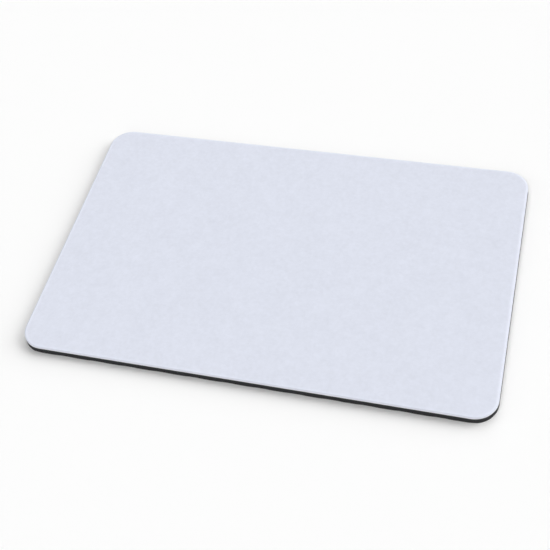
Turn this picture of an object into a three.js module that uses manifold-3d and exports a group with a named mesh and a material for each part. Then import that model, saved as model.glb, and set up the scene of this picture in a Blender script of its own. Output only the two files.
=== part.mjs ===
// Cloth-faced mouse pad, cut from a laminated sheet of cloth, bonding film and foam rubber.
// Millimetres, +Z up. The origin is the middle of the underside, with X along the width and Y towards the back.

import * as THREE from 'three';
import { mergeVertices, toCreasedNormals } from 'three/addons/utils/BufferGeometryUtils.js';
import Module from 'manifold-3d';

// Outline of the pad at the foot of its cut edge
const PAD_WIDTH = 280;
const PAD_DEPTH = 180;
const CORNER_RADIUS = 14;
const CORNER_STEPS = 10;

// Layers of the laminate, from the desk up
const BASE_THICKNESS = 4;
const FILM_THICKNESS = 0.125;
const CLOTH_THICKNESS = 0.875;

// Cut edge: the foam springs back to a dished side, and its foot stands proud of the cloth
const EDGE_FLARE = 0.32;
const WALL_DISH = 0.1;
const WALL_STEPS = 4;

// Rim that the cutting die presses down as it goes through the cloth, steeper towards the cut
const ROLL_WIDTH = 2.2;
const ROLL_DROP = 0.35;
const ROLL_POWER = 3;
const ROLL_STEPS = 5;

// Anti-slip tread embossed in the underside: zigzag grooves between flat lands
const TREAD_PITCH = 5;
const GROOVE_WIDTH = 1.6;
const GROOVE_DEPTH = 0.4;
const FOLD_LENGTH = 10;
const FOLD_RISE = 3.2;

// Length by which a cutting body runs past the face that it cuts
const OVERRUN = 1;

// Angle over which neighbouring facets meet in a hard edge
const CREASE_ANGLE = Math.PI / 6;

// Heights at which the layers meet
const BASE_TOP = BASE_THICKNESS;
const FILM_TOP = BASE_TOP + FILM_THICKNESS;
const CLOTH_TOP = FILM_TOP + CLOTH_THICKNESS;

const wasm = await Module();
wasm.setup();

// Points round the rounded rectangle that lies a given distance inside the outline, counter-clockwise
function outline(inset) {
  const radius = CORNER_RADIUS - inset;
  const x = PAD_WIDTH / 2 - CORNER_RADIUS;
  const y = PAD_DEPTH / 2 - CORNER_RADIUS;
  const centres = [[x, y], [-x, y], [-x, -y], [x, -y]];
  return centres.flatMap(([cx, cy], quarter) => {
    const start = quarter * Math.PI / 2;
    const corner = new THREE.EllipseCurve(cx, cy, radius, radius, start, start + Math.PI / 2);
    return corner.getPoints(CORNER_STEPS);
  });
}

// Rings of a layer's face from the cut edge in to where the face is level, each with its inset and height
function rolledRim(level) {
  return Array.from({ length: ROLL_STEPS + 1 }, (_, step) => {
    const share = step / ROLL_STEPS;
    return {
      inset: EDGE_FLARE + ROLL_WIDTH * share,
      height: level - ROLL_DROP * (1 - share) ** ROLL_POWER,
    };
  });
}

// Rings of the foam's side from its foot up to just under the rolled rim
function dishedWall(top) {
  return Array.from({ length: WALL_STEPS }, (_, step) => {
    const share = step / WALL_STEPS;
    return {
      inset: EDGE_FLARE * share + WALL_DISH * Math.sin(Math.PI * share),
      height: top * share,
    };
  });
}

// Closed body through a list of rings, which start at the lower face, go out round the edge and end at the upper face
function ringBody(rings) {
  const loops = rings.map(({ inset }) => outline(inset));
  const count = loops[0].length;
  const positions = loops.flatMap((loop, ring) => loop.flatMap(({ x, y }) => [x, y, rings[ring].height]));
  const indices = [];
  for (let ring = 0; ring < rings.length - 1; ring += 1) {
    for (let point = 0; point < count; point += 1) {
      const next = (point + 1) % count;
      const low = ring * count;
      const high = low + count;
      indices.push(low + point, low + next, high + next);
      indices.push(low + point, high + next, high + point);
    }
  }
  const topStart = (rings.length - 1) * count;
  for (const [a, b, c] of THREE.ShapeUtils.triangulateShape(loops[0], [])) {
    indices.push(c, b, a);
  }
  for (const [a, b, c] of THREE.ShapeUtils.triangulateShape(loops[rings.length - 1], [])) {
    indices.push(topStart + a, topStart + b, topStart + c);
  }
  const geometry = new THREE.BufferGeometry();
  geometry.setAttribute('position', new THREE.Float32BufferAttribute(positions, 3));
  geometry.setIndex(indices);
  return geometry;
}

// Sheet of even thickness that follows the rolled rim on both faces
function laminateSheet(bottom, top) {
  return ringBody([...rolledRim(bottom).reverse(), ...rolledRim(top)]);
}

// Zigzag groove as a cutting body, with its middle line at the given distance behind the pad's middle at each crest
function grooveCutter(crest) {
  const halfWidth = GROOVE_WIDTH / 2 * Math.hypot(FOLD_LENGTH, FOLD_RISE) / FOLD_LENGTH;
  const folds = Math.ceil(PAD_WIDTH / 2 / FOLD_LENGTH) + 1;
  const middle = [];
  for (let fold = -folds; fold <= folds; fold += 1) {
    const rise = fold % 2 === 0 ? 0 : FOLD_RISE;
    middle.push(new THREE.Vector2(fold * FOLD_LENGTH, crest - rise));
  }
  const back = middle.map(({ x, y }) => new THREE.Vector2(x, y + halfWidth));
  const front = middle.map(({ x, y }) => new THREE.Vector2(x, y - halfWidth));
  const shape = new THREE.Shape([...front, ...back.reverse()]);
  const cutter = new THREE.ExtrudeGeometry(shape, { depth: OVERRUN + GROOVE_DEPTH, bevelEnabled: false });
  cutter.translate(0, 0, -OVERRUN);
  return cutter;
}

// Grooves over the whole underside, with a land through the pad's middle
function treadCutters() {
  const rows = Math.ceil((PAD_DEPTH / 2 + FOLD_RISE) / TREAD_PITCH);
  return Array.from({ length: rows * 2 }, (_, row) => grooveCutter((row - rows + 1 / 2) * TREAD_PITCH));
}

// Solid for joining and cutting, from a closed geometry
function toSolid(geometry) {
  const plain = geometry.clone();
  plain.deleteAttribute('normal');
  plain.deleteAttribute('uv');
  const merged = mergeVertices(plain);
  return new wasm.Manifold(new wasm.Mesh({
    numProp: 3,
    vertProperties: new Float32Array(merged.getAttribute('position').array),
    triVerts: new Uint32Array(merged.getIndex().array),
  }));
}

// Geometry from a solid
function toGeometry(solid) {
  const mesh = solid.getMesh();
  const geometry = new THREE.BufferGeometry();
  geometry.setAttribute('position', new THREE.BufferAttribute(mesh.vertProperties, 3));
  geometry.setIndex(new THREE.BufferAttribute(mesh.triVerts, 1));
  return geometry;
}

// Foam rubber base with its dished side, rolled top and treaded underside
function rubberBase() {
  const wallTop = BASE_TOP - ROLL_DROP;
  const blank = ringBody([...dishedWall(wallTop), ...rolledRim(BASE_TOP)]);
  const grooves = treadCutters().map(toSolid);
  return toGeometry(grooves.reduce((solid, groove) => solid.subtract(groove), toSolid(blank)));
}

// Adhesive film between foam and cloth
function bondFilm() {
  return laminateSheet(BASE_TOP, FILM_TOP);
}

// Cloth face that the mouse runs on
function faceCloth() {
  return laminateSheet(FILM_TOP, CLOTH_TOP);
}

// Black foam rubber, dull all over
function rubberMaterial() {
  return new THREE.MeshStandardMaterial({ color: 0x232427, roughness: 0.92, metalness: 0 });
}

// Clear milky adhesive
function filmMaterial() {
  return new THREE.MeshStandardMaterial({ color: 0xd9d8d2, roughness: 0.5, metalness: 0 });
}

// Pale blue-white polyester
function clothMaterial() {
  return new THREE.MeshStandardMaterial({ color: 0xdee2ee, roughness: 0.95, metalness: 0 });
}

// Named mesh with smooth rims and hard edges
function piece(name, geometry, material) {
  const mesh = new THREE.Mesh(toCreasedNormals(geometry, CREASE_ANGLE), material);
  mesh.name = name;
  return mesh;
}

const pad = new THREE.Group();
pad.add(piece('rubber_base', rubberBase(), rubberMaterial()));
pad.add(piece('bond_film', bondFilm(), filmMaterial()));
pad.add(piece('face_cloth', faceCloth(), clothMaterial()));

export default pad;
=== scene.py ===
"""Looks of the cloth-faced mouse pad: cloth, adhesive film and foam base, on a pale floor."""

import math

import bmesh
import bpy
from mathutils import Matrix, Vector, noise


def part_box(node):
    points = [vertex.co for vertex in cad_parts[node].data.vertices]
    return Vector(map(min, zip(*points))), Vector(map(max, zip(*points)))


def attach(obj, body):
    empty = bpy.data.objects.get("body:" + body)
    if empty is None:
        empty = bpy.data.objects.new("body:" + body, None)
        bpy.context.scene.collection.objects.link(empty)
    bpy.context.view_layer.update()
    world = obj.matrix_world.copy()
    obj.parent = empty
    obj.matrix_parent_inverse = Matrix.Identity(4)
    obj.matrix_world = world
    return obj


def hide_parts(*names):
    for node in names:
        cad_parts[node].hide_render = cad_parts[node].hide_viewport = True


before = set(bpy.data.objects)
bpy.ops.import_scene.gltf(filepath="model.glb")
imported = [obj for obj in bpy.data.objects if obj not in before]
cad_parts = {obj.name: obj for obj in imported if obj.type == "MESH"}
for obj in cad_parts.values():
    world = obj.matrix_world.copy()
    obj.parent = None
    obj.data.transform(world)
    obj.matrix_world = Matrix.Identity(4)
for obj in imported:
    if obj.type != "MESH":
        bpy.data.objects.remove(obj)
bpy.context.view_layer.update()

MM = 0.001

# Places of the three layers, from the frame
BASE_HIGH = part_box("rubber_base")[1]
FILM_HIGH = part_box("bond_film")[1]
CLOTH_LOW, CLOTH_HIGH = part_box("face_cloth")

# Outline and rolled rim, as on the solids
CORNER_RADIUS = 14 * MM
EDGE_FLARE = BASE_HIGH.x - CLOTH_HIGH.x
CLOTH_RADIUS = CORNER_RADIUS - EDGE_FLARE
ROLL_WIDTH = 2.2 * MM
ROLL_POWER = 3
ROLL_DROP = FILM_HIGH.z - CLOTH_LOW.z

# Tread of the underside, as on the solids but with rounded folds and shoulders
TREAD_PITCH = 5 * MM
GROOVE_WIDTH = 1.6 * MM
GROOVE_DEPTH = 0.4 * MM
FOLD_LENGTH = 10 * MM
FOLD_RISE = 3.2 * MM
FOLD_ROUNDING = 2 * MM
SHOULDER = 0.45 * MM

# Points of the tread: columns as shares of a fold, and rows as distances from a groove's middle
COLUMN_SHARES = (-0.5, -0.25, -0.12, 0, 0.12, 0.25)
ROW_OFFSETS = [offset * MM for offset in (-1.1, -0.84, -0.6, 0, 0.6, 0.84, 1.1, 2.5)]

# Side of the foam: its dish, the first height clear of the grooves, and where the rim starts
WALL_DISH = 0.1 * MM
WALL_START = GROOVE_DEPTH * 1.6
WALL_TOP = BASE_HIGH.z - ROLL_DROP
WALL_STEPS = 8

# Grid of the cloth and the film: its step over the level part, and its lines' insets from the cut
GRID_STEP = 4 * MM
RIM_INSETS = [
    inset * MM for inset in (0, 0.1, 0.24, 0.42, 0.65, 0.95, 1.3, 1.7, 2.2, 3.2, 5.2, 8, 11)
]

# Cut edges of the cloth and the film: (inset, share of the thickness) of each ring up the side
CUT_ROUNDING = 0.04 * MM
CLOTH_SIDE_RINGS = [(0, 0.12), (0, 0.5), (0.01 * MM, 0.85)]
FILM_SIDE_RINGS = [(0, 0.5)]

# Waver of the cuts, and the lengths of its two waves
CLOTH_WAVER = 0.03 * MM
FILM_WAVER = 0.02 * MM
FOAM_WAVER = 0.035 * MM
LONG_WAVE = 6 * MM
SHORT_WAVE = 1.5 * MM

# Angle of a hard edge, distance under which points merge, and length of an edge that is nothing
HARD_EDGE = math.radians(38)
MERGE_DISTANCE = 0.06 * MM
NO_LENGTH = 0.001 * MM

# Tones of the cloth and of its cut side, which is paler partly as painted light; then the rim's
# painted highlight band and its darker line at the cut, whose widths are in millimetres, and the
# extra painted light on the left side
CLOTH_DARK = (0.62, 0.645, 0.727)
CLOTH_LIGHT = (0.79, 0.821, 0.925)
CUT_ENDS_AND_LIGHT = (0.88, 0.9, 0.965)
PAINTED_LIGHT_WIDTH = 3.0
PAINTED_LIGHT_AMOUNT = 0.89
DULL_RIM = 1.2
DULLNESS = 1.24
RIM_POWER = 2.0
LEFT_PAINTED_LIGHT = 0.77

# How far a way points to the back where the rim's painted light and darker cut line are none, and
# where they are full
BACK_WAY = 1.0
FULL_WAY = -0.4

# Upright share of a normal where the cut side's tone starts, and where it is full
CUT_START = 0.75
CUT_FULL = 0.35

# Weave, in millimetres: pitch of the threads and how far they wander, and wanders per millimetre
WEAVE_PITCH = 0.5
WANDER = (0.5, 0.5, 0)
WANDERS_PER_MM = 0.35

# Tones of the foam, and its pores: their number per millimetre, depth and softness
FOAM_DARK = (0.0122, 0.0127, 0.0139)
FOAM_LIGHT = (0.0471, 0.048, 0.0517)
PORES_PER_MM = 2.6
PORE_DEPTH = 0.45
PORE_SOFTNESS = 0.2

# Tones of the film and the floor
FILM_DARK = (0.28, 0.28, 0.272)
FILM_LIGHT = (0.46, 0.46, 0.45)
FLOOR_DARK = (0.948, 0.948, 0.946)
FLOOR_LIGHT = (0.952, 0.952, 0.95)

# Places of a Mix node's two colour inputs and of its colour output
MIX_COLOURS = (6, 7)
MIX_RESULT = 2

# Camera, fitted to the photograph's four straight edges
CAMERA_PLACE = Vector((138.816, -357.604, 485.715)) * MM
CAMERA_AIM = Vector((-1.957, -11.075, 0)) * MM
CAMERA_ROLL = math.radians(-10.055)
FOCAL_LENGTH = 65.997
SENSOR_WIDTH = 36
NEAREST_VIEW = 10 * MM

# Soft studio light: azimuth from +X, elevation and spread in degrees, and strength, of each lamp
LAMPS = {
    "back_softbox": (94, 41.5, 60, 1.6),
    "right_softbox": (26, 24, 48, 2.67),
    "left_softbox": (250, 60, 38, 0.64),
    "front_fill": (270, 30.5, 60, 0.75),
    "side_fill": (197, 24, 31, 0.41),
}
WHITE = (1, 1, 1, 1)
BACKDROP_BRIGHTNESS = 0.98
FLOOR_SIZE = 6.0


# Points and numbers

def smooth_share(value):
    """Share from 0 to 1 with a soft start and end."""
    value = min(max(value, 0.0), 1.0)
    return value * value * (3 - 2 * value)


def rolled_drop(inset):
    """How far a face lies below its level part, at a distance in from the cloth's cut edge."""
    share = min(max(inset / ROLL_WIDTH, 0.0), 1.0)
    return ROLL_DROP * (1 - share) ** ROLL_POWER


def cut_waver(place, size):
    """Small waver of a cut edge, along the outline."""
    long_part = noise.noise(Vector(place) / LONG_WAVE)
    short_part = noise.noise(Vector(place) / SHORT_WAVE)
    return size * long_part + size / 2 * short_part


def outline_frame(x, y):
    """Where a point lies from the foam's outline.

    Gives the nearest point of the frame that the corners' centres span, the outward way from
    there, and the distance past the outline, which is below 0 inside it.
    """
    far_x = BASE_HIGH.x - CORNER_RADIUS
    far_y = BASE_HIGH.y - CORNER_RADIUS
    anchor_x = min(max(x, -far_x), far_x)
    anchor_y = min(max(y, -far_y), far_y)
    gap_x, gap_y = x - anchor_x, y - anchor_y
    reach = math.hypot(gap_x, gap_y)
    if reach == 0:
        return anchor_x, anchor_y, 0.0, 0.0, -CORNER_RADIUS
    return anchor_x, anchor_y, gap_x / reach, gap_y / reach, reach - CORNER_RADIUS


# Mesh building

def add_object(name, mesh):
    """Object of a mesh in the scene, shaded smooth with hard edges kept."""
    mesh.shade_smooth()
    mesh.set_sharp_from_angle(angle=HARD_EDGE)
    made = bpy.data.objects.new(name, mesh)
    bpy.context.scene.collection.objects.link(made)
    return made


def mesh_object(name, points, faces):
    """Object from points and faces."""
    mesh = bpy.data.meshes.new(name)
    mesh.from_pydata(points, [], faces)
    mesh.validate()
    return add_object(name, mesh)


def bridge(lower, upper):
    """Faces between two closed loops of points of equal count, the upper above the lower."""
    count = len(lower)
    return [
        (lower[k], lower[(k + 1) % count], upper[(k + 1) % count], upper[k])
        for k in range(count)
    ]


def axis_lines(half, reach, step):
    """Signed places of a sheet's grid lines on one axis, over the part between the rims."""
    flat = half - reach
    count = max(2, round(2 * flat / step))
    return [-flat + 2 * flat * k / count for k in range(count + 1)]


def sheet_grid(half_x, half_y, insets, step):
    """Grid of a rounded rectangle, all in four-sided faces, with its columns and rows counted.

    Each point has its anchor, outward way and inset. insets run from the outline to the corners'
    centres, and the corners turn ring by ring round their centres.
    """
    rim = len(insets) - 1
    xs = axis_lines(half_x, insets[-1], step)
    ys = axis_lines(half_y, insets[-1], step)
    columns = len(xs) + 2 * rim
    rows = len(ys) + 2 * rim

    def along(index, lines):
        if index < rim:
            return lines[0], index - rim
        if index >= rim + len(lines):
            return lines[-1], index - rim - len(lines) + 1
        return lines[index - rim], 0

    grid = []
    for row in range(rows):
        for column in range(columns):
            x, right = along(column, xs)
            y, back = along(row, ys)
            ring = max(abs(right), abs(back))
            if ring == 0:
                grid.append((x, y, 0.0, 0.0, insets[-1]))
                continue
            if abs(right) >= abs(back):
                angle = math.pi / 4 * abs(back) / ring
            else:
                angle = math.pi / 2 - math.pi / 4 * abs(right) / ring
            way_x = math.cos(angle) * ((right > 0) - (right < 0))
            way_y = math.sin(angle) * ((back > 0) - (back < 0))
            grid.append((x, y, way_x, way_y, insets[rim - ring]))
    return grid, columns, rows


def grid_faces(columns, rows, start, up):
    """Four-sided faces of a grid of points, facing up or down."""
    faces = []
    for row in range(rows - 1):
        for column in range(columns - 1):
            corner = start + row * columns + column
            face = (corner, corner + 1, corner + 1 + columns, corner + columns)
            faces.append(face if up else face[::-1])
    return faces


def grid_rim(columns, rows):
    """Indices round a grid's border, counter-clockwise seen from above."""
    front = list(range(columns - 1))
    right = [row * columns + columns - 1 for row in range(rows - 1)]
    back = [(rows - 1) * columns + column for column in range(columns - 1, 0, -1)]
    left = [row * columns for row in range(rows - 1, 0, -1)]
    return front + right + back + left


def laminate(name, bottom, high, insets, side_rings, waver):
    """Closed sheet of even thickness, from a height up to a box's high corner.

    Both faces are rolled. side_rings are (inset, share of the thickness) pairs of the cut edge,
    from the lower face to the upper one.
    """
    top = high.z
    reach = insets[-1]
    grid, columns, rows = sheet_grid(high.x, high.y, insets, GRID_STEP)
    points = []
    for level in (bottom, top):
        for x, y, way_x, way_y, inset in grid:
            out = reach - inset
            if inset == 0:
                out += cut_waver((x + way_x * reach, y + way_y * reach, level), waver)
            points.append((x + way_x * out, y + way_y * out, level - rolled_drop(inset)))
    count = len(grid)
    faces = grid_faces(columns, rows, 0, False) + grid_faces(columns, rows, count, True)
    rim = grid_rim(columns, rows)
    lower = rim
    for inset, share in side_rings:
        z = bottom - ROLL_DROP + (top - bottom) * share
        ring = []
        for index in rim:
            x, y, way_x, way_y, _ = grid[index]
            out = reach - inset + cut_waver((x + way_x * reach, y + way_y * reach, z), waver)
            ring.append(len(points))
            points.append((x + way_x * out, y + way_y * out, z))
        faces += bridge(lower, ring)
        lower = ring
    faces += bridge(lower, [count + index for index in rim])
    return mesh_object(name, points, faces)


# Face cloth and adhesive film

def face_cloth():
    """Cloth that the mouse runs on, with a softly rounded cut edge."""
    insets = [CUT_ROUNDING] + RIM_INSETS[1:] + [CLOTH_RADIUS]
    return laminate(
        "face_cloth_weave", FILM_HIGH.z, CLOTH_HIGH, insets, CLOTH_SIDE_RINGS, CLOTH_WAVER
    )


def adhesive_film():
    """Film that bonds the cloth to the foam, seen only as a thin line in the cut edge."""
    insets = RIM_INSETS + [CLOTH_RADIUS]
    return laminate(
        "bond_film_line", BASE_HIGH.z, FILM_HIGH, insets, FILM_SIDE_RINGS, FILM_WAVER
    )


# Foam base

def groove_line(x):
    """Distance that a groove has run forward from its crest, with rounded folds."""
    folded = abs((x / FOLD_LENGTH) % 2 - 1)
    away = min(folded, 1 - folded) * FOLD_LENGTH
    slope = FOLD_RISE / FOLD_LENGTH
    if away < FOLD_ROUNDING:
        lift = slope * (away ** 2 / (2 * FOLD_ROUNDING) + FOLD_ROUNDING / 2)
    else:
        lift = slope * away
    return FOLD_RISE - lift if folded < 0.5 else lift


def groove_depth(x, y):
    """Depth of the tread at a point of the underside."""
    across = (y + groove_line(x)) / TREAD_PITCH % 1 - 0.5
    away = abs(across) * TREAD_PITCH
    half = GROOVE_WIDTH / 2 * math.hypot(FOLD_LENGTH, FOLD_RISE) / FOLD_LENGTH
    return GROOVE_DEPTH * smooth_share((half + SHOULDER / 2 - away) / SHOULDER)


def add_tread(mesh):
    """Adds the underside: rows that follow the grooves, and a border drawn in to the outline."""
    folds = math.ceil(BASE_HIGH.x / FOLD_LENGTH) + 1
    xs = [
        (fold + share) * FOLD_LENGTH
        for fold in range(-folds, folds + 1)
        for share in COLUMN_SHARES
    ]
    pitches = math.ceil((BASE_HIGH.y + FOLD_RISE) / TREAD_PITCH) + 1
    rows = [
        (pitch + 0.5) * TREAD_PITCH + offset
        for pitch in range(-pitches, pitches)
        for offset in ROW_OFFSETS
    ]
    grid = []
    for row in rows:
        line = []
        for x in xs:
            place = (x, row - groove_line(x))
            anchor_x, anchor_y, way_x, way_y, beyond = outline_frame(*place)
            outside = beyond > 0
            if outside:
                place = (anchor_x + way_x * CORNER_RADIUS, anchor_y + way_y * CORNER_RADIUS)
            line.append((mesh.verts.new((*place, groove_depth(*place))), outside))
        grid.append(line)
    for near, far in zip(grid, grid[1:]):
        for k in range(len(near) - 1):
            corners = (near[k], far[k], far[k + 1], near[k + 1])
            if not all(outside for _, outside in corners):
                mesh.faces.new([vertex for vertex, _ in corners])
    loose = [vertex for vertex in mesh.verts if not vertex.link_faces]
    bmesh.ops.delete(mesh, geom=loose, context="VERTS")
    bmesh.ops.remove_doubles(mesh, verts=mesh.verts, dist=MERGE_DISTANCE)
    bmesh.ops.dissolve_degenerate(mesh, edges=mesh.edges, dist=NO_LENGTH)


def border_loop(mesh):
    """Vertices round an open mesh's border, counter-clockwise seen from above."""
    links = {}
    for edge in mesh.edges:
        if edge.is_boundary:
            for vertex in edge.verts:
                links.setdefault(vertex, []).append(edge.other_vert(vertex))
    start = min(links, key=lambda v: (v.co.y, v.co.x))
    ring, last, here = [start], None, start
    while True:
        ways = [v for v in links[here] if v is not last]
        following = ways[0] if last else max(ways, key=lambda v: v.co.x)
        if following is start:
            return ring
        ring.append(following)
        last, here = here, following


def wall_rings():
    """(inset, height) of each ring of the foam's side above its foot, and of its rolled rim."""
    rings = []
    for step in range(WALL_STEPS):
        height = WALL_START + (WALL_TOP - WALL_START) * step / WALL_STEPS
        share = height / WALL_TOP
        rings.append((EDGE_FLARE * share + WALL_DISH * math.sin(math.pi * share), height))
    for inset in RIM_INSETS:
        if inset <= ROLL_WIDTH:
            rings.append((EDGE_FLARE + inset, BASE_HIGH.z - rolled_drop(inset)))
    return rings


def add_side_and_top(mesh):
    """Adds the dished side on the tread's border, the rolled rim and the level top."""
    ring = border_loop(mesh)
    places = [outline_frame(vertex.co.x, vertex.co.y) for vertex in ring]
    for inset, height in wall_rings():
        upper = []
        for anchor_x, anchor_y, way_x, way_y, _ in places:
            out = CORNER_RADIUS - inset
            if height < WALL_TOP:
                place = (anchor_x + way_x * out, anchor_y + way_y * out, height)
                out += cut_waver(place, FOAM_WAVER)
            upper.append(mesh.verts.new((anchor_x + way_x * out, anchor_y + way_y * out, height)))
        for corners in bridge(ring, upper):
            mesh.faces.new(corners)
        ring = upper
    mesh.faces.new(ring)


def foam_base():
    """Foam rubber with a treaded underside, a dished side and a rolled top."""
    mesh = bmesh.new()
    add_tread(mesh)
    add_side_and_top(mesh)
    bmesh.ops.recalc_face_normals(mesh, faces=mesh.faces)
    data = bpy.data.meshes.new("foam_rubber_base")
    mesh.to_mesh(data)
    mesh.free()
    return add_object("foam_rubber_base", data)


# Nodes

def new_node(tree, kind, settings=None, inputs=None):
    """Adds a node, with its settings and its inputs given as values or as sockets to link."""
    made = tree.nodes.new(kind)
    for name, value in (settings or {}).items():
        setattr(made, name, value)
    for name, value in (inputs or {}).items():
        if isinstance(value, bpy.types.NodeSocket):
            tree.links.new(value, made.inputs[name])
        else:
            made.inputs[name].default_value = value
    return made


def maths(tree, operation, *values, kind="ShaderNodeMath"):
    """Result of a math node."""
    return new_node(tree, kind, {"operation": operation}, dict(enumerate(values))).outputs[0]


def vector_maths(tree, operation, *values):
    """Result of a vector math node."""
    return maths(tree, operation, *values, kind="ShaderNodeVectorMath")


def share_between(tree, value, start, end):
    """How far a value is from start to end, from 0 to 1."""
    inputs = {"Value": value, "From Min": start, "From Max": end}
    return new_node(tree, "ShaderNodeMapRange", None, inputs).outputs[0]


def blank_material(name):
    """Material with a Principled shader, and its tree, shader and coordinates in millimetres."""
    material = bpy.data.materials.new(name)
    material.use_nodes = True
    tree = material.node_tree
    shader = tree.nodes["Principled BSDF"]
    coords = new_node(tree, "ShaderNodeTexCoord").outputs["Object"]
    scale = {0: coords, "Scale": 1 / MM}
    scaled = new_node(tree, "ShaderNodeVectorMath", {"operation": "SCALE"}, scale)
    return material, tree, shader, scaled.outputs[0]


def grain(tree, coords, size, layer, stretch=(1, 1, 1), detail=2.0):
    """Noise from -0.5 to 0.5 of a grain size in millimetres, drawn out by the stretch on each axis.

    Each grain has a layer of the noise to itself, so that grains of two sizes don't line up round
    the origin.
    """
    scale = tuple(1 / (size * way) for way in stretch)
    place = {"Vector": coords, "Scale": scale, "Location": (0, 0, layer)}
    mapped = new_node(tree, "ShaderNodeMapping", None, place)
    inputs = {"Vector": mapped.outputs[0], "Scale": 1, "Detail": detail}
    made = new_node(tree, "ShaderNodeTexNoise", None, inputs)
    return maths(tree, "SUBTRACT", made.outputs["Fac"], 0.5)


def weighed_sum(tree, middle, *terms):
    """middle plus each (socket, weight)."""
    total = middle
    for socket, weight in terms:
        total = maths(tree, "MULTIPLY_ADD", socket, weight, total)
    return total


def two_tone(tree, share, dark, light):
    """Colour between two tones, each a colour or a socket."""
    tones = [(*tone, 1) if isinstance(tone, tuple) else tone for tone in (dark, light)]
    settings = {"data_type": "RGBA", "clamp_factor": True}
    inputs = {"Factor": share, **dict(zip(MIX_COLOURS, tones))}
    return new_node(tree, "ShaderNodeMix", settings, inputs).outputs[MIX_RESULT]


def bump(tree, height, strength, distance):
    """Normal from a height, of which 1 stands for the distance in millimetres."""
    inputs = {"Height": height, "Strength": strength, "Distance": distance * MM}
    return new_node(tree, "ShaderNodeBump", None, inputs).outputs[0]


# Materials

def weave_height(tree, coords):
    """Height of a plain weave: round threads of both ways that pass over and under each other."""
    inputs = {"Vector": coords, "Scale": WANDERS_PER_MM, "Detail": 1.0}
    wander = new_node(tree, "ShaderNodeTexNoise", None, inputs).outputs["Color"]
    moved = vector_maths(tree, "MULTIPLY_ADD", wander, WANDER, coords)
    parts = new_node(tree, "ShaderNodeSeparateXYZ", None, {0: moved}).outputs
    turn = math.pi / WEAVE_PITCH
    warp = maths(tree, "SINE", maths(tree, "MULTIPLY", parts["X"], turn))
    weft = maths(tree, "SINE", maths(tree, "MULTIPLY", parts["Y"], turn))
    over = maths(tree, "MULTIPLY_ADD", maths(tree, "MULTIPLY", warp, weft), 0.5, 0.5)
    under = maths(tree, "SUBTRACT", 1.0, over)
    warp_height = maths(tree, "MULTIPLY", maths(tree, "ABSOLUTE", warp), over)
    weft_height = maths(tree, "MULTIPLY", maths(tree, "ABSOLUTE", weft), under)
    return maths(tree, "MAXIMUM", warp_height, weft_height)


def painted_rim_light(tree, coords):
    """Painted light on the rim: a paler band standing in for light on the rolled rim, darker along
    the cut itself, weighted by side as the light falls: none at the back, most at the left.
    """
    flat = vector_maths(tree, "MULTIPLY", coords, (1, 1, 0))
    radius = CLOTH_RADIUS / MM
    centre = (CLOTH_HIGH.x / MM - radius, CLOTH_HIGH.y / MM - radius, 0)
    past = vector_maths(tree, "SUBTRACT", vector_maths(tree, "ABSOLUTE", flat), centre)
    out = vector_maths(tree, "MAXIMUM", past, (0, 0, 0))
    length = new_node(tree, "ShaderNodeVectorMath", {"operation": "LENGTH"}, {0: out})
    reach = length.outputs["Value"]
    pale, dull = (
        maths(tree, "POWER", share_between(tree, reach, radius - width, radius), RIM_POWER)
        for width in (PAINTED_LIGHT_WIDTH, DULL_RIM)
    )
    near = weighed_sum(tree, 0.0, (pale, PAINTED_LIGHT_AMOUNT), (dull, -DULLNESS))
    turned = vector_maths(tree, "MULTIPLY", out, vector_maths(tree, "SIGN", flat))
    way = vector_maths(tree, "NORMALIZE", turned)
    ways = new_node(tree, "ShaderNodeSeparateXYZ", None, {0: way}).outputs
    front = share_between(tree, ways["Y"], BACK_WAY, FULL_WAY)
    left = maths(tree, "MAXIMUM", maths(tree, "MULTIPLY", ways["X"], -1.0), 0.0)
    # Painted light by side: none at the back, full towards the front, raised on the left
    painted_side_weight = maths(tree, "MULTIPLY", front, maths(tree, "MULTIPLY_ADD", left, LEFT_PAINTED_LIGHT, 1.0))
    return maths(tree, "MULTIPLY", near, painted_side_weight)


def cut_side_share(tree):
    """Share from 0 on a face that looks up or down to 1 on the cut side."""
    normal = new_node(tree, "ShaderNodeNewGeometry").outputs["Normal"]
    upright = new_node(tree, "ShaderNodeSeparateXYZ", None, {0: normal}).outputs["Z"]
    return share_between(tree, maths(tree, "ABSOLUTE", upright), CUT_START, CUT_FULL)


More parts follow.
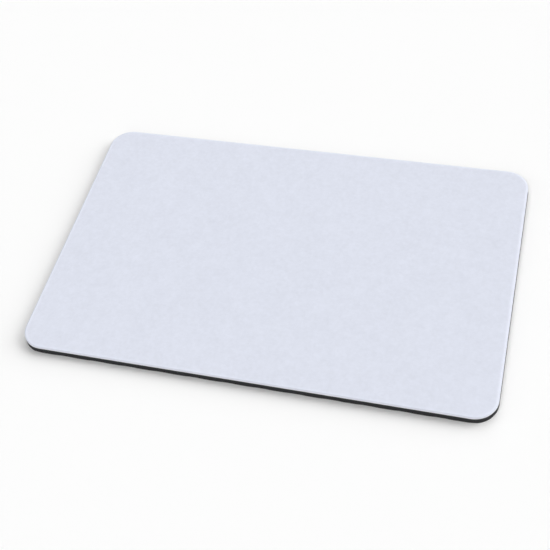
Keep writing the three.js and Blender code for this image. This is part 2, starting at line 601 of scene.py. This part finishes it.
def cloth_material():
    """Pale blue-white fine polyester weave with slubs, speckle and a soft sheen."""
    material, tree, shader, coords = blank_material("polyester_face")
    weave = weave_height(tree, coords)
    speckle = grain(tree, coords, size=0.9, layer=11, detail=3.0)
    weft_slub = grain(tree, coords, size=0.55, layer=29, stretch=(9, 1, 1))
    warp_slub = grain(tree, coords, size=0.55, layer=47, stretch=(1, 7, 1))
    tuft = grain(tree, coords, size=2.1, layer=67, detail=1.0)
    cloud = grain(tree, coords, size=3.8, layer=83)
    mottle = grain(tree, coords, size=7, layer=101)
    drift = grain(tree, coords, size=28, layer=127)
    tone = weighed_sum(
        tree,
        0.47,
        # The weave's height also lightens the thread tops and darkens the gaps between threads:
        # painted shade
        (weave, 0.08),
        (speckle, 0.06),
        (weft_slub, 0.15),
        (warp_slub, 0.085),
        (tuft, 0.33),
        (cloud, 0.27),
        (mottle, 0.23),
        (drift, 0.12),
        # Painted highlight band and darker cut line along the rim
        (painted_rim_light(tree, coords), 1.0),
    )
    face = two_tone(tree, tone, CLOTH_DARK, CLOTH_LIGHT)
    # The cut side is paler than the face: partly the fibre ends' own tone, partly painted light on
    # that side
    colour = two_tone(tree, cut_side_share(tree), face, CUT_ENDS_AND_LIGHT)
    roughness = weighed_sum(tree, 0.86, (speckle, 0.12), (mottle, 0.06))
    height = weighed_sum(
        tree, 0.0, (weave, 0.07), (weft_slub, 0.05), (warp_slub, 0.04), (speckle, 0.03)
    )
    tree.links.new(colour, shader.inputs["Base Color"])
    tree.links.new(roughness, shader.inputs["Roughness"])
    tree.links.new(bump(tree, height, strength=0.45, distance=1.0), shader.inputs["Normal"])
    shader.inputs["Sheen Weight"].default_value = 0.06
    shader.inputs["Sheen Roughness"].default_value = 0.45
    shader.inputs["Specular IOR Level"].default_value = 0.15
    return material


def foam_material():
    """Black closed-cell foam rubber: fine pores, blade marks up the side and a little dust."""
    material, tree, shader, coords = blank_material("foam_rubber")
    inputs = {"Vector": coords, "Scale": PORES_PER_MM, "Randomness": 1.0}
    cells = new_node(tree, "ShaderNodeTexVoronoi", None, inputs).outputs["Distance"]
    pores = maths(tree, "SMOOTH_MIN", cells, PORE_DEPTH, PORE_SOFTNESS)
    blade = grain(tree, coords, size=0.35, layer=13, stretch=(1, 1, 14))
    dust = grain(tree, coords, size=2.2, layer=31, detail=4.0)
    # The pores are darker in tone where they sink: painted shade in the pores
    tone = weighed_sum(tree, 0.22, (pores, 0.5), (blade, 0.35), (dust, 0.5))
    colour = two_tone(tree, tone, FOAM_DARK, FOAM_LIGHT)
    roughness = weighed_sum(tree, 0.8, (dust, 0.3), (blade, 0.1))
    height = weighed_sum(tree, 0.0, (pores, 0.12), (blade, 0.05), (dust, 0.02))
    tree.links.new(colour, shader.inputs["Base Color"])
    tree.links.new(roughness, shader.inputs["Roughness"])
    tree.links.new(bump(tree, height, strength=0.7, distance=1.0), shader.inputs["Normal"])
    shader.inputs["Specular IOR Level"].default_value = 0.3
    return material


def film_material():
    """Clear adhesive, dim over the black foam, with a faintly uneven squeeze-out."""
    material, tree, shader, coords = blank_material("hot_melt_film")
    streak = grain(tree, coords, size=1.2, layer=17, detail=3.0)
    tone = weighed_sum(tree, 0.5, (streak, 1.0))
    roughness = weighed_sum(tree, 0.45, (streak, 0.3))
    tree.links.new(two_tone(tree, tone, FILM_DARK, FILM_LIGHT), shader.inputs["Base Color"])
    tree.links.new(roughness, shader.inputs["Roughness"])
    tree.links.new(bump(tree, streak, strength=0.3, distance=0.05), shader.inputs["Normal"])
    return material


def floor_material():
    """Plain matt white studio floor."""
    material, tree, shader, coords = blank_material("pale_floor")
    shade = grain(tree, coords, size=60, layer=19, detail=1.0)
    tone = weighed_sum(tree, 0.5, (shade, 1.0))
    tree.links.new(two_tone(tree, tone, FLOOR_DARK, FLOOR_LIGHT), shader.inputs["Base Color"])
    shader.inputs["Roughness"].default_value = 1.0
    shader.inputs["Specular IOR Level"].default_value = 0.0
    return material


def dress(piece, material, node):
    """Gives a piece its material and sets it in the frame in place of a node."""
    piece.data.materials.append(material)
    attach(piece, "root")
    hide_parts(node)


# Floor, light and camera

def studio_floor():
    """Wide pale floor at the foot of the pad."""
    half = FLOOR_SIZE / 2
    corners = [(-half, -half, 0), (half, -half, 0), (half, half, 0), (-half, half, 0)]
    floor = mesh_object("studio_floor", corners, [(0, 1, 2, 3)])
    floor.data.materials.append(floor_material())


def studio_light():
    """Broad soft lamps, and a white backdrop that the camera alone sees."""
    for name, (azimuth, elevation, spread, strength) in LAMPS.items():
        sun = bpy.data.lights.new(name, "SUN")
        sun.energy = strength
        sun.angle = math.radians(spread)
        lamp = bpy.data.objects.new(name, sun)
        way = Vector((1, 0, 0))
        way.rotate(Matrix.Rotation(-math.radians(elevation), 3, "Y"))
        way.rotate(Matrix.Rotation(math.radians(azimuth), 3, "Z"))
        lamp.rotation_euler = way.to_track_quat("Z", "Y").to_euler()
        bpy.context.scene.collection.objects.link(lamp)
    world = bpy.data.worlds.new("studio")
    world.use_nodes = True
    tree = world.node_tree
    unlit = tree.nodes["Background"]
    unlit.inputs["Strength"].default_value = 0.0
    backdrop = {"Color": WHITE, "Strength": BACKDROP_BRIGHTNESS}
    seen = new_node(tree, "ShaderNodeBackground", None, backdrop)
    seen_share = new_node(tree, "ShaderNodeLightPath").outputs["Is Camera Ray"]
    layers = {0: seen_share, 1: unlit.outputs[0], 2: seen.outputs[0]}
    mixed = new_node(tree, "ShaderNodeMixShader", None, layers)
    tree.links.new(mixed.outputs[0], tree.nodes["World Output"].inputs["Surface"])
    bpy.context.scene.world = world


def camera():
    """Camera at the photograph's place, aimed at the desk and rolled as the photograph is."""
    data = bpy.data.cameras.new("camera")
    data.lens = FOCAL_LENGTH
    data.sensor_width = SENSOR_WIDTH
    data.clip_start = NEAREST_VIEW
    made = bpy.data.objects.new("camera", data)
    level = (CAMERA_AIM - CAMERA_PLACE).to_track_quat("-Z", "Y").to_matrix().to_4x4()
    roll = Matrix.Rotation(CAMERA_ROLL, 4, "Z")
    made.matrix_world = Matrix.Translation(CAMERA_PLACE) @ level @ roll
    bpy.context.scene.collection.objects.link(made)
    bpy.context.scene.camera = made


camera()
studio_light()
studio_floor()

cloth = face_cloth()
dress(cloth, cloth_material(), "face_cloth")
film = adhesive_film()
dress(film, film_material(), "bond_film")
foam = foam_base()
dress(foam, foam_material(), "rubber_base")

bpy.context.scene.view_settings.view_transform = "Standard"
